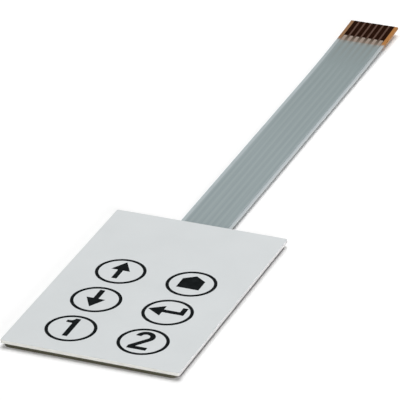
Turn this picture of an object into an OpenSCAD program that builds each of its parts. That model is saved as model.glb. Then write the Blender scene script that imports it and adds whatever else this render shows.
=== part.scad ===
// Membrane keypad with six printed keys and a flat circuit tail, lying face up.
// Millimetres. The origin is the middle of the keypad's rear face.
// +X runs across the key columns, +Y along the tail and +Z out of the face.

/* [Keypad outline] */
// From the middle of a key column to the side edge
side_margin = 9.8; // [8.5:0.1:30]
// From the middle of the front row to the front edge
front_margin = 7.85; // [6:0.05:30]
// From the middle of the back row to the back edge
back_margin = 21.5; // [16:0.1:60]
// Radius of the keypad's corners
corner_r = 0.4; // [0.3:0.1:4]
// How far the layers below the spacer stand back from the side edges
side_inset = 0.2; // [0.05:0.05:0.5]
// How far these layers stand back from the front and back edges
end_inset = 0.15; // [0.05:0.05:0.25]
// Radius of the corners of these layers
stack_corner_r = 1.6; // [0.3:0.1:4]

/* [Printed legends] */
// Outside diameter of the ring round each key
ring_d = 9.1; // [8:0.1:14]
// Line width of the ring
ring_line = 0.6; // [0.2:0.05:0.7]
// Space between the rings of the two columns
col_gap = 4.3; // [2:0.1:20]
// Space between the rings of neighbouring rows
row_gap = 1.8; // [0.5:0.1:10]
// Thickness of the printed ink on the face
print_t = 0.02; // [0.01:0.01:0.05]
// Line width of the arrows and the figures
stroke_w = 0.96; // [0.5:0.01:1.2]
// Length of the up and down arrows
arrow_l = 6.15; // [4.5:0.05:6.4]
// Length of an arrow's head
head_l = 3.05; // [2:0.05:3.5]
// Width of an arrow's head
head_w = 3.55; // [2.4:0.05:4]
// Height of the arrows' middle above the ring's middle
arrow_lift = 0.4; // [-0.4:0.05:0.5]
// How far the arrows sit to the right of the ring's middle
arrow_shift = -0.2; // [-0.4:0.05:0.4]
// Width of the house
home_w = 4.2; // [3:0.05:5]
// Height of the house, with its roof
home_h = 4.65; // [3:0.05:5]
// Height of the roof
roof_h = 1.45; // [0.8:0.05:2.4]
// Height of the house's middle above the ring's middle
home_lift = 0.6; // [-0.6:0.05:0.7]
// How far the house sits to the right of the ring's middle
home_shift = -0.1; // [-0.4:0.05:0.4]
// Length of the enter arrow
enter_l = 6.7; // [5:0.1:6.8]
// Length of the enter arrow's head
enter_head_l = 2.75; // [1.5:0.05:3]
// Thickness of the enter arrow's shaft
enter_shaft_w = 0.95; // [0.4:0.05:1]
// Height of the enter arrow's riser above its shaft's middle
enter_rise = 2.05; // [1.4:0.05:2.3]
// Height of the enter arrow's shaft above the ring's middle
enter_lift = 0.3; // [-0.4:0.05:0.4]
// How far the enter arrow sits to the right of the ring's middle
enter_shift = -0.4; // [-0.5:0.05:0.1]
// Height of the figures
digit_h = 6.2; // [5:0.05:6.6]
// Width of the figure two
two_w = 3.5; // [3:0.05:4.2]
// How far the flag of the figure one reaches left of its stem
flag_l = 1.2; // [1:0.01:1.8]
// Thickness of the flag
flag_t = 0.75; // [0.4:0.05:0.9]
// Radius of the curve from the flag up to the top of the stem
flag_r = 0.85; // [0.4:0.05:1]
// Height of the figures' middle above the ring's middle
digit_lift = 0.35; // [-0.2:0.05:0.4]
// How far the figure one's stem sits to the right of the ring's middle
one_shift = -0.05; // [-0.4:0.05:0.6]
// How far the figure two sits to the right of the ring's middle
two_shift = -0.25; // [-0.4:0.05:0.4]

/* [Layers] */
// Thickness of the release liner
liner_t = 0.125; // [0.05:0.005:0.2]
// Thickness of the rear adhesive
rear_adhesive_t = 0.385; // [0.05:0.005:0.5]
// Thickness of the circuit film and its tail
circuit_film_t = 0.19; // [0.075:0.005:0.25]
// Thickness of the spacer
spacer_t = 0.2; // [0.15:0.01:0.4]
// Thickness of the upper switch film
upper_film_t = 0.125; // [0.075:0.005:0.25]
// Thickness of the overlay's adhesive
overlay_adhesive_t = 0.075; // [0.05:0.005:0.2]
// Thickness of the graphic overlay
overlay_t = 0.2; // [0.125:0.005:0.4]

/* [Switch circuit] */
// Thickness of the printed conductors and shorting discs
ink_t = 0.03; // [0.02:0.005:0.04]
// Diameter of the switch pad and of the shorting disc
switch_d = 6.4; // [5.6:0.1:8]
// Space round a switch pad in the spacer's window
window_clear = 0.4; // [0.2:0.05:0.6]
// Width of the air channels between the windows
channel_w = 1; // [0.5:0.1:2]
// Fingers in a switch pad, shared by its two combs
finger_count = 5; // [3:2:5]
// Width of a comb's finger and of its curved spine
finger_w = 0.5; // [0.4:0.05:0.55]
// Gap between the two combs
finger_gap = 0.5; // [0.4:0.05:0.55]
// Width of the conductors
trace_w = 0.65; // [0.4:0.05:0.75]
// From a spacer window to the nearest lane of conductors
lane_gap = 1; // [0.8:0.1:1.2]
// From the back row's windows to the first lane across to the tail
crossover_gap = 6; // [2:0.1:8]
// Length of the slanted corners of the conductors
trace_bend = 0.8; // [0.4:0.05:1]
// Space left round a conductor by the layer pressed over it
ink_clear = 0.05; // [0.02:0.01:0.08]

/* [Tail] */
// Distance between the contacts
contact_pitch = 1.25; // [1.2:0.01:1.5]
// Width of a contact
contact_w = 0.87; // [0.8:0.01:1]
// Length of the contacts
contact_l = 6.3; // [4:0.1:10]
// Thickness of the carbon over the conductors
carbon_t = 0.02; // [0.01:0.01:0.05]
// How far the carbon wraps past the end of a conductor
carbon_wrap = 0.4; // [0.2:0.1:1]
// From the middle of an outer contact to the tail's edge
tail_margin = 1.15; // [0.9:0.05:3]
// Length of the tail past the keypad's edge
tail_l = 90.2; // [50:0.1:300]
// How far the tail sits to the right of the keypad's middle
tail_shift = 0.4; // [-1.5:0.1:1.5]
// Length of the tail's end that curls up
curl_l = 28; // [10:0.5:36]
// How far the curl lifts the tail's tip
curl_rise = 0.833; // [0.4:0.001:3]
// From the middle of an outer conductor to the edge of the grey cover
cover_margin = 0.45; // [0.45:0.05:0.85]
// Thickness of the cover
cover_t = 0.05; // [0.05:0.01:0.1]
// How far the cover tucks in under the keypad's edge
cover_lap = 1.5; // [0.5:0.1:3]
// Space round the tucked end of the cover
cover_clear = 0.2; // [0.1:0.05:0.5]
// Length of bare conductor between the cover and the contacts
bare_l = 2.2; // [1:0.1:4]
// Length of the stiffener below the tail's end
stiffener_l = 8; // [5:0.1:20]
// Thickness of the stiffener
stiffener_t = 0.3; // [0.1:0.01:0.4]

/* [Hidden] */
$fn = 96;

// The grid: column 0 is on the left, row 0 is at the front
cols = 2;
rows = 3;
// One conductor per key, and the common one in the middle
contact_count = cols * rows + 1;

col_pitch = ring_d + col_gap;
row_pitch = ring_d + row_gap;
pad_w = (cols - 1) * col_pitch + 2 * side_margin;
pad_h = (rows - 1) * row_pitch + front_margin + back_margin;

window_d = switch_d + 2 * window_clear;
contact_span = (contact_count - 1) * contact_pitch;
tail_w = contact_span + 2 * tail_margin;
cover_w = contact_span + 2 * cover_margin;

// Heights of the layers' lower faces
z_rear_adhesive = liner_t;
z_circuit_film = z_rear_adhesive + rear_adhesive_t;
z_circuit = z_circuit_film + circuit_film_t;
z_upper_film = z_circuit + spacer_t;
z_overlay_adhesive = z_upper_film + upper_film_t;
z_overlay = z_overlay_adhesive + overlay_adhesive_t;
z_print = z_overlay + overlay_t;

// Places along the tail
y_edge = pad_h / 2;
y_end = y_edge + tail_l;
y_contacts = y_end - contact_l;
y_cover_end = y_contacts - bare_l;
y_cover = y_edge - cover_lap;
// Where the conductors already run straight, just before the cover starts
y_run = y_cover - 2 * cover_clear;

// The tail's height along its length, against its level in the keypad
curl_steps = 7;
tail_line = [for (i = [0 : curl_steps]) let (t = i / curl_steps)
    [y_end - curl_l * (1 - t), curl_rise * t * t]];

// Lanes of conductors, kept at the tail's own pitch
lane_pitch = contact_pitch;

overlay_colour = [0.84, 0.855, 0.86];
print_colour = [0.09, 0.1, 0.1];
clear_colour = [0.78, 0.82, 0.83];
cream_colour = [0.85, 0.85, 0.81];
adhesive_colour = [0.34, 0.33, 0.27];
silver_colour = [0.72, 0.69, 0.65];
cover_colour = [0.58, 0.63, 0.635];
carbon_colour = [0.13, 0.08, 0.06];
amber_colour = [0.72, 0.47, 0.2];
liner_colour = [0.4, 0.38, 0.3];

function key_x(col) = (col - (cols - 1) / 2) * col_pitch;
function key_y(row) = front_margin - pad_h / 2 + row * row_pitch;
// Which way is outwards from the middle: -1 for the left column, 1 for the right
function outward(col) = sign(key_x(col));
// The back row takes lane 0, next to the windows
function lane_of(row) = rows - 1 - row;
function lane_x(lane) = col_pitch / 2 + window_d / 2 + lane_gap + lane * lane_pitch;
function crossover_y(lane) = key_y(rows - 1) + window_d / 2 + crossover_gap + lane * lane_pitch;
function contact_x(index) = tail_shift + (index - (contact_count - 1) / 2) * contact_pitch;
function lane_contact_x(col, row) = tail_shift + outward(col) * (lane_of(row) + 1) * contact_pitch;

// Outline helpers for a conductor of constant width along a path
function left_of(a, b) = [a.y - b.y, b.x - a.x] / norm(b - a);
function mitre(path, i) =
    i == 0 ? left_of(path[0], path[1])
    : i == len(path) - 1 ? left_of(path[i - 1], path[i])
    : let (both = left_of(path[i - 1], path[i]) + left_of(path[i], path[i + 1]))
        both * 2 / (both * both);
function path_side(path, shift) = [for (i = [0 : len(path) - 1]) path[i] + mitre(path, i) * shift];
function backwards(list) = [for (i = [len(list) - 1 : -1 : 0]) list[i]];

// From a key's outer spine out to its lane, up past the other rows and across to the tail
function key_path(col, row) =
    let (
        way = outward(col),
        lane = lane_of(row),
        x_spine = col_pitch / 2 + (switch_d - finger_w) / 2,
        x_lane = lane_x(lane),
        y_lane = crossover_y(lane),
        x_tail = lane_contact_x(col, row)
    )
    [
        [way * x_spine, key_y(row)],
        [way * (x_lane - trace_bend), key_y(row)],
        [way * x_lane, key_y(row) + trace_bend],
        [way * x_lane, y_lane - trace_bend],
        [way * (x_lane - trace_bend), y_lane],
        [x_tail + way * trace_bend, y_lane],
        [x_tail, y_lane + trace_bend],
        [x_tail, y_edge]
    ];

module path_2d(path, width) {
    polygon(concat(path_side(path, width / 2), backwards(path_side(path, -width / 2))));
}

module outline_2d(w, h, r) {
    square([w - 2 * r, h], center = true);
    square([w, h - 2 * r], center = true);
    for (x = [-1, 1], y = [-1, 1])
        translate([x * (w / 2 - r), y * (h / 2 - r)])
            circle(r = r);
}

// Layer that reaches the keypad's edge
module sheet(z, t) {
    translate([0, 0, z])
        linear_extrude(t)
            outline_2d(pad_w, pad_h, corner_r);
}

// Layer that stands back from the edge
module inset_sheet(z, t) {
    translate([0, 0, z])
        linear_extrude(t)
            outline_2d(pad_w - 2 * side_inset, pad_h - 2 * end_inset, stack_corner_r);
}

module at_keys() {
    for (col = [0 : cols - 1], row = [0 : rows - 1])
        translate([key_x(col), key_y(row)])
            children();
}

// Strip along the keypad, centred on x
module strip_2d(x, width, y_from, y_to) {
    translate([x - width / 2, y_from])
        square([width, y_to - y_from]);
}

// Strip that follows the tail and its curl, between two heights over the film's lower face
module tail_band(x, width, y_from, y_to, low, high) {
    between = [for (stop = tail_line) if (stop[0] > y_from && stop[0] < y_to) stop[0]];
    stops = concat([y_from], between, [y_to]);
    translate([x - width / 2, 0, z_circuit_film])
        rotate([90, 0, 90])
            linear_extrude(width)
                polygon(concat(
                    [for (y = stops) [y, lookup(y, tail_line) + low]],
                    [for (y = backwards(stops)) [y, lookup(y, tail_line) + high]]
                ));
}

// Half plane on one side of a switch pad's middle
module half_2d(way, start) {
    translate([way > 0 ? start : -start - switch_d, -switch_d])
        square([switch_d, 2 * switch_d]);
}

// One of the two combs that mesh in a switch pad; its spine lies on the given side
module comb_2d(way) {
    pitch = finger_w + finger_gap;
    first = way > 0 ? 0 : 1;
    intersection() {
        difference() {
            circle(d = switch_d);
            circle(d = switch_d - 2 * finger_w);
        }
        half_2d(way, finger_gap / 2);
    }
    intersection() {
        union() {
            circle(d = switch_d - 2 * (finger_w + finger_gap));
            intersection() {
                circle(d = switch_d - finger_w);
                half_2d(way, 0);
            }
        }
        for (i = [first : 2 : finger_count - 1])
            translate([0, (i - (finger_count - 1) / 2) * pitch])
                square([switch_d, finger_w], center = true);
    }
}

// The common conductor: a stem up between the columns with a branch to each pair of keys
module common_path_2d(width) {
    reach = col_pitch / 2 - (switch_d - finger_w) / 2;
    strip_2d(tail_shift, width, key_y(0) - width / 2, y_edge);
    for (row = [0 : rows - 1])
        translate([0, key_y(row)])
            square([2 * reach, width], center = true);
}

module conductor() {
    color(silver_colour)
        translate([0, 0, z_circuit])
            linear_extrude(ink_t)
                children();
}

// A conductor's straight run along the tail
module tail_run(x, width) {
    color(silver_colour)
        tail_band(x, width, y_run, y_end - carbon_wrap, circuit_film_t, circuit_film_t + ink_t);
}

module key_trace(col, row) {
    conductor()
        path_2d(key_path(col, row), trace_w);
    tail_run(lane_contact_x(col, row), trace_w);
    conductor()
        translate([key_x(col), key_y(row)])
            comb_2d(outward(col));
}

// The conductors in the keypad, widened, as the room that the spacer leaves for them
module conductor_room() {
    width = trace_w + 2 * ink_clear;
    translate([0, 0, z_circuit])
        linear_extrude(ink_t) {
            common_path_2d(width);
            for (col = [0 : cols - 1], row = [0 : rows - 1])
                path_2d(key_path(col, row), width);
        }
}

// A key's printed ring, with its symbol as the child
module key_print(col, row, shift, lift) {
    color(print_colour)
        translate([key_x(col), key_y(row), z_print])
            linear_extrude(print_t) {
                difference() {
                    circle(d = ring_d);
                    circle(d = ring_d - 2 * ring_line);
                }
                translate([shift, lift])
                    children();
            }
}

module arrow_2d() {
    y_back = arrow_l / 2 - head_l;
    polygon([
        [0, arrow_l / 2],
        [-head_w / 2, y_back],
        [-stroke_w / 2, y_back],
        [-stroke_w / 2, -arrow_l / 2],
        [stroke_w / 2, -arrow_l / 2],
        [stroke_w / 2, y_back],
        [head_w / 2, y_back]
    ]);
}

module home_2d() {
    y_eaves = home_h / 2 - roof_h;
    polygon([
        [-home_w / 2, -home_h / 2],
        [home_w / 2, -home_h / 2],
        [home_w / 2, y_eaves],
        [0, home_h / 2],
        [-home_w / 2, y_eaves]
    ]);
}

module enter_2d() {
    x_back = enter_head_l - enter_l / 2;
    x_end = enter_l / 2;
    polygon([
        [-enter_l / 2, 0],
        [x_back, -head_w / 2],
        [x_back, -enter_shaft_w / 2],
        [x_end, -enter_shaft_w / 2],
        [x_end, enter_rise],
        [x_end - stroke_w, enter_rise],
        [x_end - stroke_w, enter_shaft_w / 2],
        [x_back, enter_shaft_w / 2],
        [x_back, head_w / 2]
    ]);
}

// Stem with a flag that curves up into its top
module one_2d() {
    x_stem = -stroke_w / 2;
    y_flag = digit_h / 2 - flag_r;
    translate([x_stem, -digit_h / 2])
        square([stroke_w, digit_h]);
    translate([x_stem - flag_l, y_flag - flag_t])
        square([flag_l, flag_t]);
    difference() {
        translate([x_stem - flag_r, y_flag - flag_t / 2])
            square([flag_r, flag_r + flag_t / 2]);
        translate([x_stem - flag_r, digit_h / 2])
            circle(r = flag_r);
    }
}

// Round bowl, straight diagonal from its tangent down to the end of the foot, and the foot
module two_2d() {
    r_out = two_w / 2;
    r_in = r_out - stroke_w;
    y_bowl = digit_h / 2 - r_out;
    y_foot = stroke_w - digit_h / 2;
    // Where the bowl ends, below its middle on the right
    over = y_bowl - y_foot;
    turn = atan2(over, r_out) - asin(r_in / norm([r_out, over])) - 90;
    away = [sin(turn), -cos(turn)];
    from_in = [r_in * cos(turn), y_bowl + r_in * sin(turn)];
    from_out = [r_out * cos(turn), y_bowl + r_out * sin(turn)];
    difference() {
        translate([0, y_bowl])
            circle(r = r_out);
        translate([0, y_bowl])
            circle(r = r_in);
        // Open below the middle, up to the end of the bowl
        translate([0, y_bowl])
            polygon([
                [0, 0],
                [-2 * r_out, 0],
                [-2 * r_out, -2 * r_out],
                [2 * r_out * cos(turn), -2 * r_out],
                [2 * r_out * cos(turn), 2 * r_out * sin(turn)]
            ]);
    }
    polygon([
        from_in,
        from_in + away * (from_in.y - y_foot) / cos(turn),
        from_out + away * (from_out.y - y_foot) / cos(turn),
        from_out
    ]);
    translate([-r_out, -digit_h / 2])
        square([two_w, stroke_w]);
}

module graphic_overlay() {
    color(overlay_colour)
        sheet(z_overlay, overlay_t);
}

module legend_up() {
    key_print(0, 2, arrow_shift, arrow_lift)
        arrow_2d();
}

module legend_home() {
    key_print(1, 2, home_shift, home_lift)
        home_2d();
}

module legend_down() {
    key_print(0, 1, arrow_shift, arrow_lift)
        rotate(180)
            arrow_2d();
}

module legend_enter() {
    key_print(1, 1, enter_shift, enter_lift)
        enter_2d();
}

module legend_one() {
    key_print(0, 0, one_shift, digit_lift)
        one_2d();
}

module legend_two() {
    key_print(1, 0, two_shift, digit_lift)
        two_2d();
}

module overlay_adhesive() {
    color(cream_colour)
        sheet(z_overlay_adhesive, overlay_adhesive_t);
}

module upper_film() {
    color(cream_colour)
        sheet(z_upper_film, upper_film_t);
}

module shorting_pads() {
    color(silver_colour)
        translate([0, 0, z_upper_film - ink_t])
            linear_extrude(ink_t)
                at_keys()
                    circle(d = switch_d);
}

module spacer() {
    notch_w = cover_w + 2 * cover_clear;
    color(cream_colour)
        difference() {
            sheet(z_circuit, spacer_t);
            translate([0, 0, z_circuit - spacer_t])
                linear_extrude(3 * spacer_t) {
                    at_keys()
                        circle(d = window_d);
                    for (col = [0 : cols - 1])
                        strip_2d(key_x(col), channel_w, key_y(0), key_y(rows - 1));
                    strip_2d(tail_shift, notch_w, y_cover - cover_clear, y_edge + cover_clear);
                }
            conductor_room();
        }
}

module common_trace() {
    conductor()
        common_path_2d(trace_w);
    tail_run(tail_shift, trace_w);
    conductor()
        for (col = [0 : cols - 1], row = [0 : rows - 1])
            translate([key_x(col), key_y(row)])
                comb_2d(-outward(col));
}

module trace_one() {
    key_trace(0, 0);
}

module trace_down() {
    key_trace(0, 1);
}

module trace_up() {
    key_trace(0, 2);
}

module trace_two() {
    key_trace(1, 0);
}

module trace_enter() {
    key_trace(1, 1);
}

module trace_home() {
    key_trace(1, 2);
}

module circuit_film() {
    color(clear_colour) {
        inset_sheet(z_circuit_film, circuit_film_t);
        tail_band(tail_shift, tail_w, y_run, y_end, 0, circuit_film_t);
    }
}

// The cover lies on the film between the conductors and runs over each one as a low ridge
module tail_cover() {
    low = circuit_film_t;
    ridge = low + ink_t;
    room_w = trace_w + 2 * ink_clear;
    color(cover_colour) {
        for (i = [0 : contact_count]) {
            x_from = i == 0 ? tail_shift - cover_w / 2 : contact_x(i - 1) + room_w / 2;
            x_to = i == contact_count ? tail_shift + cover_w / 2 : contact_x(i) - room_w / 2;
            tail_band((x_from + x_to) / 2, x_to - x_from, y_cover, y_cover_end, low, low + cover_t);
        }
        for (i = [0 : contact_count - 1])
            tail_band(contact_x(i), room_w + 2 * cover_t, y_cover, y_cover_end, ridge, ridge + cover_t);
    }
}

module tail_contacts() {
    low = circuit_film_t;
    color(carbon_colour)
        for (i = [0 : contact_count - 1])
            difference() {
                tail_band(contact_x(i), contact_w, y_contacts, y_end, low, low + ink_t + carbon_t);
                tail_run(contact_x(i), trace_w);
            }
}

module tail_stiffener() {
    color(amber_colour)
        tail_band(tail_shift, tail_w, y_end - stiffener_l, y_end, -stiffener_t, 0);
}

module rear_adhesive() {
    color(adhesive_colour)
        inset_sheet(z_rear_adhesive, rear_adhesive_t);
}

module release_liner() {
    color(liner_colour)
        inset_sheet(0, liner_t);
}

graphic_overlay();
legend_up();
legend_home();
legend_down();
legend_enter();
legend_one();
legend_two();
overlay_adhesive();
upper_film();
shorting_pads();
spacer();
common_trace();
trace_one();
trace_down();
trace_up();
trace_two();
trace_enter();
trace_home();
circuit_film();
tail_cover();
tail_contacts();
tail_stiffener();
rear_adhesive();
release_liner();
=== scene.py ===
import bmesh
import bpy
import math
from mathutils import Matrix, Vector


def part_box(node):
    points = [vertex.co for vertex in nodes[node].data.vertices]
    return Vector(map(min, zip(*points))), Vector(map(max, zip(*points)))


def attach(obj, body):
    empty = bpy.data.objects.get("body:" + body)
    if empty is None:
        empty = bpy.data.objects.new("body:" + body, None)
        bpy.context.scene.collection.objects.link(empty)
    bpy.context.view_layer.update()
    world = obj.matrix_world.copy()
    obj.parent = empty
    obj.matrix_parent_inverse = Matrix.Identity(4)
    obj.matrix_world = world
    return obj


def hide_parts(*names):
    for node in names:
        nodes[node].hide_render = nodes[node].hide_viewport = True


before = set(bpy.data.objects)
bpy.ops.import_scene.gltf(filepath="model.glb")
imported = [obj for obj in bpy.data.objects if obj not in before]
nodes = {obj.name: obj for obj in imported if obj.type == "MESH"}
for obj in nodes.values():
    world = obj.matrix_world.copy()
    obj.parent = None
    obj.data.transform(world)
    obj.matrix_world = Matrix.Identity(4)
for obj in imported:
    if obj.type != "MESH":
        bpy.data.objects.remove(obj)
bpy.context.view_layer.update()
mm = 0.001  # pieces are drawn in millimetres, then brought to metres
perMm = 1000  # object coordinates are metres, patterns count in millimetres
samePlace = 1e-4  # mm, within which two places count as one
noiseSpan = (0.3, 0.7)  # where most values of a noise lie
print("frame loaded:", len(nodes), "nodes")


def boxInMm(node):
    low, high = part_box(node)
    return low / mm, high / mm


# the tail runs straight out at the circuit film's level and curls up towards its tip
tail = {"curl": 28, "curlSteps": 18, "rise": 0.833}
conductors = {"pitch": 1.25, "count": 7}
faceLow, faceHigh = boxInMm("graphic_overlay")
tailStart, tailEnd = faceHigh.y, boxInMm("circuit_film")[1].y
tailLeft, tailRight = (corner.x for corner in boxInMm("tail_stiffener"))
tailMiddle = (tailLeft + tailRight) / 2
filmLevel = boxInMm("rear_adhesive")[1].z
printLevel = boxInMm("spacer")[0].z  # upper side of the circuit film, under the conductors
coverEnd = boxInMm("tail_cover")[1].y
stiffStart = boxInMm("tail_stiffener")[0].y
contactStart = boxInMm("tail_contacts")[0].y
tailRows = [tailEnd - tail["curl"] * (1 - i / tail["curlSteps"]) for i in range(tail["curlSteps"])]
firstConductor = tailMiddle - (conductors["count"] - 1) / 2 * conductors["pitch"]
conductorPlaces = [firstConductor + i * conductors["pitch"] for i in range(conductors["count"])]


def tailLevel(y):  # against the film's level in the keypad
    return tail["rise"] * max(1 - (tailEnd - y) / tail["curl"], 0) ** 2


def near(a, b, slack=samePlace):
    return abs(a - b) < slack


def flatSheet(name, low, high):  # one quad at the lower level, filling the box's plan
    bpy.ops.object.select_all(action="DESELECT")
    middle = (low + high) / 2
    bpy.ops.mesh.primitive_plane_add(size=1, location=(middle.x, middle.y, low.z))
    piece = bpy.context.active_object
    piece.name = piece.data.name = name
    piece.scale = (high.x - low.x, high.y - low.y, 1)
    bpy.ops.object.transform_apply(location=True, rotation=False, scale=True)
    bpy.ops.object.mode_set(mode="EDIT")
    return piece


def pick(piece, kind, test):  # selects what passes the test, by its place or normal
    mode = {"verts": "VERT", "edges": "EDGE", "faces": "FACE"}[kind]
    bpy.ops.mesh.select_mode(type=mode)
    bpy.ops.mesh.select_all(action="DESELECT")
    mesh = bmesh.from_edit_mesh(piece.data)
    mesh.normal_update()
    for part in getattr(mesh, kind):
        if test(part):
            part.select_set(True)
    mesh.select_flush_mode()
    bmesh.update_edit_mesh(piece.data)


def roundCorners(radius, steps):
    bpy.ops.mesh.select_all(action="SELECT")
    bpy.ops.mesh.bevel(offset=radius, segments=steps, affect="VERTICES")


def cutAt(places, normal):  # lines across the whole piece
    for at in places:
        bpy.ops.mesh.select_all(action="SELECT")
        bpy.ops.mesh.bisect(plane_co=Vector(normal) * at, plane_no=normal)


def raiseSheet(thickness):  # sheet becomes a closed slab
    bpy.ops.mesh.select_all(action="SELECT")
    bpy.ops.mesh.extrude_region_move(TRANSFORM_OT_translate={"value": (0, 0, thickness)})
    bpy.ops.mesh.select_all(action="SELECT")
    bpy.ops.mesh.normals_make_consistent(inside=False)


def isFlat(face):
    return abs(face.normal.z) > 0.9  # less than 26 degrees from level


def isWall(face):
    return abs(face.normal.z) < 0.6  # more than 53 degrees from level


def isRim(edge, level):  # edge between the flat at this level and a wall
    if not all(near(v.co.z, level) for v in edge.verts):
        return False
    flats = [isFlat(f) for f in edge.link_faces]
    return any(flats) and not all(flats)


def softenRim(piece, level, width, steps=2):
    pick(piece, "edges", lambda e: isRim(e, level))
    bpy.ops.mesh.bevel(offset=width, segments=steps, affect="EDGES")


def mergeClose(distance):  # points that an operator left on top of each other
    bpy.ops.mesh.select_all(action="SELECT")
    bpy.ops.mesh.remove_doubles(threshold=distance)
    bpy.ops.mesh.dissolve_degenerate(threshold=distance)


def bendTail(piece):  # each row of points takes its place on the tail's line
    digits, slack = 3, 6e-4  # rows are told apart to a thousandth of a millimetre
    mesh = bmesh.from_edit_mesh(piece.data)
    rows = sorted({round(v.co.y, digits) for v in mesh.verts if v.co.y > tailStart})
    for y in rows:
        pick(piece, "verts", lambda v: near(v.co.y, y, slack))
        bpy.ops.transform.translate(value=(0, 0, tailLevel(y)))


def finishFaces(piece, finish, test):  # what passes the test gets a finish of its own
    piece.data.materials.append(finish)
    pick(piece, "faces", test)
    piece.active_material_index = len(piece.data.materials) - 1
    bpy.ops.object.material_slot_assign()


def finishPiece(piece, slot, *replaced, smooth=15):
    bpy.ops.object.mode_set(mode="OBJECT")
    piece.scale = (mm, mm, mm)
    bpy.ops.object.transform_apply(location=False, rotation=False, scale=True)
    bpy.ops.object.shade_smooth_by_angle(angle=math.radians(smooth))
    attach(piece, "root")
    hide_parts(*replaced)
    print("piece:", piece.name, len(piece.data.polygons), "faces")
    return piece


def newFinish(name):
    finish = bpy.data.materials.new(name)
    finish.use_nodes = True
    tree = finish.node_tree
    return finish, tree, tree.nodes["Principled BSDF"]


def placeInMm(tree, stretch=(1, 1, 1)):
    place = tree.nodes.new("ShaderNodeTexCoord")
    scaled = tree.nodes.new("ShaderNodeMapping")
    scaled.inputs["Scale"].default_value = [perMm * s for s in stretch]
    tree.links.new(place.outputs["Object"], scaled.inputs["Vector"])
    return scaled.outputs["Vector"]


def partsOf(tree, vector):  # its X, Y and Z
    parts = tree.nodes.new("ShaderNodeSeparateXYZ")
    tree.links.new(vector, parts.inputs["Vector"])
    return parts.outputs


def noiseAt(tree, place, scale, detail=3, roughness=0.5):
    noise = tree.nodes.new("ShaderNodeTexNoise")
    noise.inputs["Scale"].default_value = scale
    noise.inputs["Detail"].default_value = detail
    noise.inputs["Roughness"].default_value = roughness
    tree.links.new(place, noise.inputs["Vector"])
    return noise.outputs["Fac"]


def twoTones(tree, noise, dark, light):
    ramp = tree.nodes.new("ShaderNodeValToRGB")
    for point, at, colour in zip(ramp.color_ramp.elements, noiseSpan, (dark, light)):
        point.position = at
        point.color = (*colour, 1)
    tree.links.new(noise, ramp.inputs["Fac"])
    return ramp.outputs["Color"]


def mapTo(tree, amount, low, high, span=noiseSpan):  # goes from low to high over the span
    ranged = tree.nodes.new("ShaderNodeMapRange")
    for key, value in zip(("From Min", "From Max", "To Min", "To Max"), (*span, low, high)):
        ranged.inputs[key].default_value = value
    tree.links.new(amount, ranged.inputs["Value"])
    return ranged.outputs["Result"]


def reckon(tree, way, first, second=None):  # one sum on sockets or numbers
    step = tree.nodes.new("ShaderNodeMath")
    step.operation = way
    for socket, value in zip(step.inputs, (first, second)):
        if isinstance(value, bpy.types.NodeSocket):
            tree.links.new(value, socket)
        elif value is not None:
            socket.default_value = value
    return step.outputs[0]


def mixColours(tree, amount, first, second, blend="MIX"):
    mix = tree.nodes.new("ShaderNodeMix")
    mix.data_type = "RGBA"
    mix.blend_type = blend
    for socket, value in ((mix.inputs[0], amount), (mix.inputs[6], first), (mix.inputs[7], second)):
        if isinstance(value, bpy.types.NodeSocket):
            tree.links.new(value, socket)
        else:
            socket.default_value = value if isinstance(value, (int, float)) else (*value, 1)
    return mix.outputs[2]


def addBump(tree, shader, height, depth):  # depth in millimetres
    bump = tree.nodes.new("ShaderNodeBump")
    bump.inputs["Distance"].default_value = depth * mm
    tree.links.new(height, bump.inputs["Height"])
    tree.links.new(bump.outputs["Normal"], shader.inputs["Normal"])


def addSurface(tree, shader, place, look):  # uneven gloss and, where it has a depth, a fine grain
    fine = noiseAt(tree, place, look["grainScale"], look["grainDetail"], look["grainRough"])
    tree.links.new(mapTo(tree, fine, *look["gloss"]), shader.inputs["Roughness"])
    if look["grainDepth"]:
        addBump(tree, shader, fine, look["grainDepth"])
    shader.inputs["Specular IOR Level"].default_value = look["specular"]
    return fine


def paintSideLight(tree, colour, tint):  # painted side light: a tint on cut edges that look along X
    turned = (0.5, 0.9)  # share of the normal that lies along X
    shape = tree.nodes.new("ShaderNodeNewGeometry")
    along = reckon(tree, "ABSOLUTE", partsOf(tree, shape.outputs["Normal"])["X"])
    return mixColours(tree, mapTo(tree, along, 0, 1, turned), colour, tint, "MULTIPLY")


grainBase = {"grainDetail": 5, "grainRough": 0.6, "stretch": (1, 1, 1), "metallic": 0}


def grainFinish(look):  # two close tones on a fine surface
    look = grainBase | look
    finish, tree, shader = newFinish(look["name"])
    place = placeInMm(tree, look["stretch"])
    colour = twoTones(tree, noiseAt(tree, place, look["toneScale"]), look["dark"], look["light"])
    # painted side light on cut edges that look along X
    if "paintedSideLight" in look:
        colour = paintSideLight(tree, colour, look["paintedSideLight"])
    tree.links.new(colour, shader.inputs["Base Color"])
    addSurface(tree, shader, place, look)
    shader.inputs["Metallic"].default_value = look["metallic"]
    return finish


def dress(nodeName, finish):
    mesh = nodes[nodeName].data
    if mesh.materials:
        mesh.materials[0] = finish
    else:
        mesh.materials.append(finish)


# face film, with the paler cut edge as its second finish: partly the film's own paler edge, partly painted
# light on the front wall
faceFilm = {"cornerRadius": 0.4, "cornerSteps": 8, "upperRound": 0.04, "lowerRound": 0.02, "upperSteps": 3}
faceLook = {
    "name": "mattFaceFilm", "dark": (0.648, 0.675, 0.683), "light": (0.674, 0.700, 0.708),
    "toneScale": 0.12, "grainScale": 7, "grainDepth": 0.003, "gloss": (0.55, 0.66), "specular": 0.12,
}
# painted side light: pale cut edges that look along X turn a touch bluer
paleSideLight = (0.98, 0.975, 1.035)
edgeLook = {
    "name": "cutFaceEdge", "dark": (0.80, 0.795, 0.755), "light": (0.87, 0.865, 0.825), "paintedSideLight": paleSideLight,
    "toneScale": 2, "grainScale": 14, "grainDepth": 0.003, "gloss": (0.45, 0.6), "specular": 0.2,
}


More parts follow.
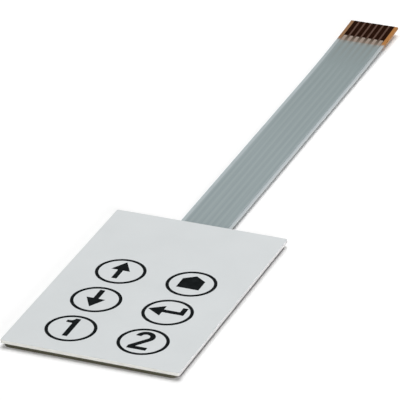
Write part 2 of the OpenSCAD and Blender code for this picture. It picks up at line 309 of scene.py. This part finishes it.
def buildFaceFilm():
    piece = flatSheet("faceFilm", faceLow, faceHigh)
    roundCorners(faceFilm["cornerRadius"], faceFilm["cornerSteps"])
    raiseSheet(faceHigh.z - faceLow.z)
    softenRim(piece, faceHigh.z, faceFilm["upperRound"], faceFilm["upperSteps"])
    softenRim(piece, faceLow.z, faceFilm["lowerRound"])
    piece.data.materials.append(grainFinish(faceLook))
    finishFaces(piece, grainFinish(edgeLook), isWall)
    return finishPiece(piece, "overlay_film", "graphic_overlay")


buildFaceFilm()

# black print of the keys
printLook = {
    "name": "blackKeyPrint", "dark": (0.008, 0.0095, 0.010), "light": (0.0145, 0.017, 0.018),
    "toneScale": 1.2, "grainScale": 16, "grainDepth": 0.002, "gloss": (0.5, 0.62), "specular": 0,
}
blackPrint = grainFinish(printLook)
for name in nodes:
    if name.startswith("legend_"):
        dress(name, blackPrint)

# copy of the figure two: its node has a slit that is too narrow to see
figureTwo = {"merge": 1e-4, "wallTriangles": 2}


def endsInside(face):  # wall in a closed piece, with one end that joins nothing
    joins = [len(e.link_faces) for e in face.edges]
    return min(joins) == 1 and max(joins) > 2


def buildFigureTwo(node):
    piece = bpy.data.objects.new("figureTwo", nodes[node].data.copy())
    bpy.context.collection.objects.link(piece)
    bpy.ops.object.select_all(action="DESELECT")
    piece.select_set(True)
    bpy.context.view_layer.objects.active = piece
    piece.scale = (perMm, perMm, perMm)
    bpy.ops.object.transform_apply(location=False, rotation=False, scale=True)
    bpy.ops.object.mode_set(mode="EDIT")
    bpy.ops.mesh.select_all(action="SELECT")
    bpy.ops.mesh.remove_doubles(threshold=figureTwo["merge"])
    for _ in range(figureTwo["wallTriangles"]):  # the merged slit is one wall, taken away from its open end
        pick(piece, "faces", endsInside)
        bpy.ops.mesh.delete(type="FACE")
    return finishPiece(piece, "black_print", node)


buildFigureTwo("legend_two")

# layers under the face: pale ones to its edge, dark ones set back below them
laminate = {"paleRadius": 0.4, "darkRadius": 1.6, "cornerSteps": 10, "rimRound": 0.015}
paleLayer = {
    "dark": (0.76, 0.755, 0.71), "light": (0.84, 0.835, 0.79), "paintedSideLight": paleSideLight, "gloss": (0.45, 0.6),
}
# painted side light: dark cut edges that look along X turn nearly twice as light and bluer
darkLayer = {"paintedSideLight": (1.92, 1.92, 2.75), "gloss": (0.45, 0.6), "specular": 0.1}
faceAdhesiveLook = paleLayer | {
    "name": "paleAdhesive", "toneScale": 1.5, "grainScale": 9, "grainDepth": 0.004, "specular": 0.2,
}
upperFilmLook = paleLayer | {
    "name": "milkyFilm", "toneScale": 1.5, "grainScale": 12, "grainDepth": 0.002,
    "gloss": (0.35, 0.5), "specular": 0.25,
}
spacerLook = paleLayer | {
    "name": "spacerSheet", "toneScale": 1.2, "grainScale": 10, "grainDepth": 0.004, "specular": 0.1,
}
adhesiveLook = darkLayer | {
    "name": "adhesiveEdge", "dark": (0.075, 0.072, 0.050), "light": (0.105, 0.100, 0.072),
    "toneScale": 1.5, "grainScale": 9, "grainDepth": 0.004,
}
linerLook = darkLayer | {
    "name": "linerPaper", "dark": (0.105, 0.098, 0.068), "light": (0.140, 0.130, 0.095),
    "toneScale": 0.5, "grainScale": 6, "grainDepth": 0.005,
}


def buildLaminateSheet(name, node, slot, look, radius):
    low, high = boxInMm(node)
    piece = flatSheet(name, low, high)
    roundCorners(laminate[radius], laminate["cornerSteps"])
    raiseSheet(high.z - low.z)
    softenRim(piece, high.z, laminate["rimRound"])
    softenRim(piece, low.z, laminate["rimRound"])
    piece.data.materials.append(grainFinish(look))
    return finishPiece(piece, slot, node)


buildLaminateSheet("faceAdhesive", "overlay_adhesive", "face_adhesive", faceAdhesiveLook, "paleRadius")
buildLaminateSheet("upperSwitchFilm", "upper_film", "switch_film", upperFilmLook, "paleRadius")
buildLaminateSheet("rearAdhesive", "rear_adhesive", "adhesive", adhesiveLook, "darkRadius")
buildLaminateSheet("releaseLiner", "release_liner", "liner_paper", linerLook, "darkRadius")
dress("spacer", grainFinish(spacerLook))

# circuit film with its tail: clear, so it takes the tone of what lies below it, with painted shade between
# its conductors and contacts and painted light along its right side
filmLook = {
    "name": "clearCircuitFilm", "dark": (0.376, 0.430, 0.447), "light": (0.406, 0.461, 0.478),
    "cloudScale": 0.5,
    # painted highlight along the tail's right edge
    "paintedRimHighlight": (0.53, 0.563, 0.573), "rimSpan": (4.25, 4.85),  # from the tail's middle, on its right
    "farRim": (0.84, 0.84, 0.83), "farStart": 88,
    # painted light: the amber below the film is painted lighter towards the tail's right side
    "amberLeft": (0.296, 0.167, 0.088), "amberRight": (0.43, 0.196, 0.064), "amberSpan": (-4, 4),
    "amberFade": (-0.5, 0.3),  # along the tail, from the stiffener's edge
    # painted shade between the conductors past the cover, darker near the contacts, and between the contacts
    "bareNear": (0.22, 0.178, 0.142), "bareFar": (0.095, 0.066, 0.048), "between": (0.118, 0.070, 0.054),
    "contactFade": 0.2, "coverFade": 0.1, "innerSpan": (4.17, 4.27),
    "grainScale": 5, "grainDetail": 4, "grainRough": 0.5, "grainDepth": 0.002,
    "gloss": (0.35, 0.5), "specular": 0.1,
}
bareLook = filmLook | {"name": "bareCircuitFilm", "specular": 0}  # past the cover's end
filmEdgeLook = {
    # painted shade: the clear film's cut edge is dark where it lies in the stack
    "name": "cutFilmEdge", "stackShade": (0.095, 0.092, 0.070), "tail": (0.35, 0.362, 0.368),
    "amber": (0.33, 0.150, 0.045), "fade": 0.1, "worn": (0.85, 0.85, 0.85), "clean": (1, 1, 1),
    "grainScale": 6, "grainDetail": 4, "grainRough": 0.5, "grainDepth": 0,
    "gloss": (0.45, 0.6), "specular": 0.1,
}


def tailAxes(tree):  # place, distance from the tail's middle, distance along it
    place = placeInMm(tree)
    parts = partsOf(tree, place)
    return place, reckon(tree, "SUBTRACT", parts["X"], tailMiddle), parts["Y"]


def clearTone(tree, place, across, along, look):  # over the floor, with a painted highlight along its right side
    clear = twoTones(tree, noiseAt(tree, place, look["cloudScale"]), look["dark"], look["light"])
    clear = mixColours(tree, mapTo(tree, across, 0, 1, look["rimSpan"]), clear, look["paintedRimHighlight"])
    far = mapTo(tree, along, 0, 1, (look["farStart"], coverEnd))
    return mixColours(tree, far, clear, look["farRim"], "MULTIPLY")


def innerTone(tree, along, look):  # painted shade between the conductors, deepening towards the contacts, then between the contacts
    bareShare = mapTo(tree, along, 0, 1, (coverEnd, contactStart))
    bare = mixColours(tree, bareShare, look["bareNear"], look["bareFar"])
    atContacts = mapTo(tree, along, 0, 1, (contactStart, contactStart + look["contactFade"]))
    return mixColours(tree, atContacts, bare, look["between"])


def filmFinish(look):
    finish, tree, shader = newFinish(look["name"])
    place, across, along = tailAxes(tree)
    clear = clearTone(tree, place, across, along, look)
    # painted light: lighter amber towards the right side
    rightShare = mapTo(tree, across, 0, 1, look["amberSpan"])
    amber = mixColours(tree, rightShare, look["amberLeft"], look["amberRight"])
    overAmber = mapTo(tree, along, 0, 1, [stiffStart + step for step in look["amberFade"]])
    tone = mixColours(tree, overAmber, clear, amber)
    inside = mapTo(tree, reckon(tree, "ABSOLUTE", across), 1, 0, look["innerSpan"])
    pastCover = mapTo(tree, along, 0, 1, (coverEnd - look["coverFade"], coverEnd))
    tone = mixColours(tree, reckon(tree, "MULTIPLY", inside, pastCover), tone, innerTone(tree, along, look))
    tree.links.new(tone, shader.inputs["Base Color"])
    addSurface(tree, shader, place, look)
    return finish


def filmEdgeFinish(look):  # cut sides: dark in the stack as painted shade, grey along the tail, amber at its end
    finish, tree, shader = newFinish(look["name"])
    place = placeInMm(tree)
    along = partsOf(tree, place)["Y"]
    onTail = mapTo(tree, along, 0, 1, (tailStart - look["fade"], tailStart))
    tone = mixColours(tree, onTail, look["stackShade"], look["tail"])
    overAmber = mapTo(tree, along, 0, 1, (stiffStart - look["fade"], stiffStart + look["fade"]))
    tone = mixColours(tree, overAmber, tone, look["amber"])
    uneven = twoTones(tree, addSurface(tree, shader, place, look), look["worn"], look["clean"])
    tree.links.new(mixColours(tree, 1.0, tone, uneven, "MULTIPLY"), shader.inputs["Base Color"])
    return finish


def buildCircuitFilm():
    low, high = boxInMm("rear_adhesive")
    piece = flatSheet("circuitFilm", Vector((low.x, low.y, filmLevel)), high)
    roundCorners(laminate["darkRadius"], laminate["cornerSteps"])
    cutAt((tailLeft, tailRight), (1, 0, 0))  # marks where the tail starts on the back edge

    def atRoot(vertex):
        inTail = tailLeft - samePlace < vertex.co.x < tailRight + samePlace
        return inTail and near(vertex.co.y, high.y)

    def isBare(face):  # upper side past the cover
        upper = face.normal.z > 0 and not isWall(face)
        return upper and face.calc_center_median().y > coverEnd

    pick(piece, "edges", lambda e: all(atRoot(v) for v in e.verts))
    bpy.ops.mesh.extrude_edges_move(TRANSFORM_OT_translate={"value": (0, tailEnd - high.y, 0)})
    cutAt([*tailRows, coverEnd], (0, 1, 0))
    raiseSheet(printLevel - filmLevel)
    softenRim(piece, printLevel, laminate["rimRound"])
    softenRim(piece, filmLevel, laminate["rimRound"])
    bendTail(piece)
    piece.data.materials.append(filmFinish(filmLook))
    finishFaces(piece, filmEdgeFinish(filmEdgeLook), isWall)
    finishFaces(piece, filmFinish(bareLook), isBare)
    return finishPiece(piece, "tail_film", "circuit_film")


buildCircuitFilm()

# silver conductors
silverLook = {
    "name": "silverInk", "dark": (0.19, 0.143, 0.112), "light": (0.24, 0.186, 0.150),
    "toneScale": 6, "grainScale": 20, "grainDepth": 0.003, "gloss": (0.5, 0.65), "specular": 0.2,
    "metallic": 0.2,
}
silverInk = grainFinish(silverLook)
for name in nodes:
    if "trace" in name or name == "shorting_pads":
        dress(name, silverInk)

# grey cover over the tail's conductors, each of which shows as a low ridge
tailCover = {
    "thickness": 0.08, "ridge": 0.012, "ridgeFoot": 0.95, "ridgeTop": 0.50,
    "ridgeRound": 0.08, "ridgeSteps": 3, "sideClear": 0.02, "merge": 1e-3,
}
coverLook = {
    "name": "greyCover", "dark": (0.220, 0.270, 0.279), "light": (0.245, 0.297, 0.305),
    "streak": {"stretch": (3, 0.04, 1), "scale": 1, "detail": 4},
    # painted highlights: paler lines between the conductors, fading out before the cover's end
    "line": (0.272, 0.325, 0.333), "lineShare": 0.65, "lineSpan": (-1, 0.2), "lineEnds": (-13, -9),
    "rim": (0.330, 0.378, 0.392), "rimShare": 0.7, "rimSpan": (3.8, 4.2),
    "farEnd": (0.811, 0.828, 0.817), "farStart": 57,
    "overInk": (0.27, 0.25, 0.22), "overGap": (0.125, 0.118, 0.098),
    "thinShare": 0.3, "thinSpan": (-10, -2), "goneShare": 0.7, "goneSpan": (-1.4, 0),
    "grainScale": 8, "grainDetail": 4, "grainRough": 0.5, "grainDepth": 0.002,
    "gloss": (0.4, 0.52), "specular": 0.15,
}


def fromCoverEnd(span):
    return [coverEnd + step for step in span]


def coverTone(tree, across, along, wave, look):  # paler lines between conductors as painted highlights, and paler sides
    streak = look["streak"]
    cloud = noiseAt(tree, placeInMm(tree, streak["stretch"]), streak["scale"], streak["detail"])
    body = twoTones(tree, cloud, look["dark"], look["light"])
    between = mapTo(tree, wave, look["lineShare"], 0, look["lineSpan"])
    between = reckon(tree, "MULTIPLY", between, mapTo(tree, along, 1, 0, fromCoverEnd(look["lineEnds"])))
    body = mixColours(tree, between, body, look["line"])
    rim = mapTo(tree, reckon(tree, "ABSOLUTE", across), 0, look["rimShare"], look["rimSpan"])
    body = mixColours(tree, rim, body, look["rim"])
    far = mapTo(tree, along, 0, 1, (look["farStart"], coverEnd))
    return mixColours(tree, far, body, look["farEnd"], "MULTIPLY")


def coverFinish(look):  # its end lets the conductors show through
    finish, tree, shader = newFinish(look["name"])
    place, across, along = tailAxes(tree)
    wave = reckon(tree, "COSINE", reckon(tree, "MULTIPLY", across, 2 * math.pi / conductors["pitch"]))
    body = coverTone(tree, across, along, wave, look)
    thin = mapTo(tree, along, 0, look["thinShare"], fromCoverEnd(look["thinSpan"]))
    gone = mapTo(tree, along, 0, look["goneShare"], fromCoverEnd(look["goneSpan"]))
    onInk = mapTo(tree, wave, 0, 1, (-1, 1))
    body = mixColours(tree, reckon(tree, "MULTIPLY", onInk, gone), body, look["overInk"])
    gap = reckon(tree, "MULTIPLY", reckon(tree, "SUBTRACT", 1, onInk), reckon(tree, "ADD", thin, gone))
    tree.links.new(mixColours(tree, gap, body, look["overGap"]), shader.inputs["Base Color"])
    addSurface(tree, shader, place, look)
    return finish


def buildTailCover():
    low, high = boxInMm("tail_cover")
    piece = flatSheet("tailCover", Vector((low.x, low.y, printLevel)), high)
    footHalf, topHalf = tailCover["ridgeFoot"] / 2, tailCover["ridgeTop"] / 2
    marks = sorted(x + way * half for x in conductorPlaces for way in (-1, 1) for half in (footHalf, topHalf))
    clear = tailCover["sideClear"]
    cutAt([x for x in marks if low.x + clear < x < high.x - clear], (1, 0, 0))
    cutAt([y for y in tailRows if y < high.y], (0, 1, 0))
    flank = tailCover["thickness"] - tailCover["ridge"]
    raiseSheet(flank)
    upper = printLevel + flank

    def onRidge(vertex):
        reach = topHalf + tailCover["merge"]
        return near(vertex.co.z, upper) and any(near(vertex.co.x, x, reach) for x in conductorPlaces)

    def alongRidge(edge):
        first, last = (v.co for v in edge.verts)
        onTop = min(first.z, last.z) > upper - samePlace
        return onTop and near(first.x, last.x) and low.x + clear < first.x < high.x - clear

    pick(piece, "verts", onRidge)
    bpy.ops.transform.translate(value=(0, 0, tailCover["ridge"]))
    pick(piece, "edges", alongRidge)
    bpy.ops.mesh.bevel(offset=tailCover["ridgeRound"], segments=tailCover["ridgeSteps"], affect="EDGES")
    mergeClose(tailCover["merge"])
    bendTail(piece)
    piece.data.materials.append(coverFinish(coverLook))
    return finishPiece(piece, "grey_cover", "tail_cover")


buildTailCover()

# carbon contacts, raised over the conductor inside each, and the stiffener under them
contact = {"width": 0.87, "shoulder": 0.11, "skirt": 0.02, "height": 0.05, "round": 0.012, "roundSteps": 2}
carbonLook = {
    "name": "carbonInk", "dark": (0.015, 0.0055, 0.0028), "light": (0.025, 0.0095, 0.0050),
    "toneScale": 2, "grainScale": 12, "grainDepth": 0.003, "gloss": (0.5, 0.62), "specular": 0,
    "stretch": (2, 0.5, 1),
}
stiffener = {"thickness": 0.3, "rimRound": 0.03}
amberLook = {
    "name": "amberStiffener", "dark": (0.40, 0.180, 0.050), "light": (0.50, 0.235, 0.068),
    "toneScale": 0.6, "grainScale": 6, "grainDepth": 0.003, "gloss": (0.35, 0.5), "specular": 0.2,
}


def buildOneContact():  # at the middle of the keypad, before the tail bends
    half = contact["width"] / 2
    low, high = Vector((-half, contactStart, printLevel)), Vector((half, tailEnd, printLevel))
    piece = flatSheet("contactFingers", low, high)
    raiseSheet(contact["skirt"])
    pick(piece, "faces", lambda f: isFlat(f) and f.normal.z > 0)
    bpy.ops.mesh.inset(thickness=contact["shoulder"])
    bpy.ops.transform.translate(value=(0, 0, contact["height"] - contact["skirt"]))
    pick(piece, "edges", lambda e: all(v.co.z > printLevel + samePlace for v in e.verts))
    bpy.ops.mesh.bevel(offset=contact["round"], segments=contact["roundSteps"], affect="EDGES")
    cutAt([y for y in tailRows if y > contactStart], (0, 1, 0))
    bpy.ops.object.mode_set(mode="OBJECT")
    return piece


def buildContacts():
    piece = buildOneContact()
    fingers = [piece]
    for _ in conductorPlaces[1:]:
        bpy.ops.object.select_all(action="DESELECT")
        piece.select_set(True)
        bpy.context.view_layer.objects.active = piece
        bpy.ops.object.duplicate()
        fingers.append(bpy.context.active_object)
    for finger, x in zip(fingers, conductorPlaces):
        finger.location.x = x
        finger.select_set(True)
    bpy.context.view_layer.objects.active = piece
    bpy.ops.object.join()
    bpy.ops.object.transform_apply(location=True, rotation=False, scale=False)
    bpy.ops.object.mode_set(mode="EDIT")
    bendTail(piece)
    piece.data.materials.append(grainFinish(carbonLook))
    return finishPiece(piece, "carbon_print", "tail_contacts")


def buildStiffener():
    low, high = boxInMm("tail_stiffener")
    under = filmLevel - stiffener["thickness"]
    piece = flatSheet("endStiffener", Vector((low.x, low.y, under)), high)
    cutAt([y for y in tailRows if y > low.y], (0, 1, 0))
    raiseSheet(stiffener["thickness"])
    softenRim(piece, under, stiffener["rimRound"])
    bendTail(piece)
    piece.data.materials.append(grainFinish(amberLook))
    return finishPiece(piece, "amber_film", "tail_stiffener")


buildContacts()
buildStiffener()

# floor, light and camera
stage = {"size": 4, "drop": 0.01, "white": 0.97, "lift": 0.10, "skyForLight": 0.08}
keyLamp = {"towards": (-0.12, 0.50, 0.86), "aim": (0, 30, 0), "distance": 3000, "size": 2600, "power": 104}
fillLamp = {"towards": (0.65, -0.72, 0.085), "aim": (0, 30, 0), "distance": 3000, "size": 1500, "power": 82}
view = {
    "target": (-3.837, 34.112, 1.30), "distance": 730.2,  # mm
    "azimuth": 22.499, "elevation": 27.429, "roll": -1.048,  # degrees
    "lens": 362.19, "sensor": 36,
}


def seenDirectly(tree):  # 1 for camera, mirror and see-through rays
    path = tree.nodes.new("ShaderNodeLightPath")
    seen = reckon(tree, "MAXIMUM", path.outputs["Is Camera Ray"], path.outputs["Is Glossy Ray"])
    return reckon(tree, "MAXIMUM", seen, path.outputs["Is Transmission Ray"])


def buildFloor():
    bpy.ops.object.select_all(action="DESELECT")
    bpy.ops.mesh.primitive_plane_add(size=stage["size"], location=(0, 0, -stage["drop"] * mm))
    floor = bpy.context.active_object
    floor.name = "floor"
    finish, tree, shader = newFinish("paleFloor")
    shader.inputs["Base Color"].default_value = (stage["white"],) * 3 + (1,)
    shader.inputs["Roughness"].default_value = 1
    shader.inputs["Specular IOR Level"].default_value = 0
    shader.inputs["Emission Color"].default_value = (1, 1, 1, 1)
    lift = mapTo(tree, seenDirectly(tree), 0, stage["lift"], (0, 1))
    tree.links.new(lift, shader.inputs["Emission Strength"])
    floor.data.materials.append(finish)


def lightWorld():
    world = bpy.data.worlds.new("studioSky")
    bpy.context.scene.world = world
    world.use_nodes = True
    tree = world.node_tree
    sky = tree.nodes["Background"]
    sky.inputs["Color"].default_value = (1, 1, 1, 1)
    strength = mapTo(tree, seenDirectly(tree), stage["skyForLight"], 1, (0, 1))
    tree.links.new(strength, sky.inputs["Strength"])


def addLamp(name, look):
    aim = Vector(look["aim"]) * mm
    towards = Vector(look["towards"]).normalized()
    bpy.ops.object.light_add(type="AREA", location=aim + towards * look["distance"] * mm)
    lamp = bpy.context.active_object
    lamp.name = name
    lamp.rotation_euler = towards.to_track_quat("Z", "Y").to_euler()
    lamp.data.size = look["size"] * mm
    lamp.data.energy = look["power"]


def addCamera(look):
    az, el, roll = (math.radians(look[key]) for key in ("azimuth", "elevation", "roll"))
    back = Vector((math.sin(az) * math.cos(el), -math.cos(az) * math.cos(el), math.sin(el)))
    level = Vector((math.cos(az), math.sin(az), 0))
    steep = back.cross(level)
    right = level * math.cos(roll) + steep * math.sin(roll)
    up = steep * math.cos(roll) - level * math.sin(roll)
    place = (Vector(look["target"]) + back * look["distance"]) * mm
    bpy.ops.object.camera_add()
    camera = bpy.context.active_object
    camera.matrix_world = Matrix.Translation(place) @ Matrix((right, up, back)).transposed().to_4x4()
    camera.data.sensor_width = look["sensor"]
    camera.data.lens = look["lens"]
    bpy.context.scene.camera = camera


buildFloor()
lightWorld()
addLamp("keyLamp", keyLamp)
addLamp("fillLamp", fillLamp)
addCamera(view)
bpy.context.scene.view_settings.view_transform = "Standard"
print("stage set")
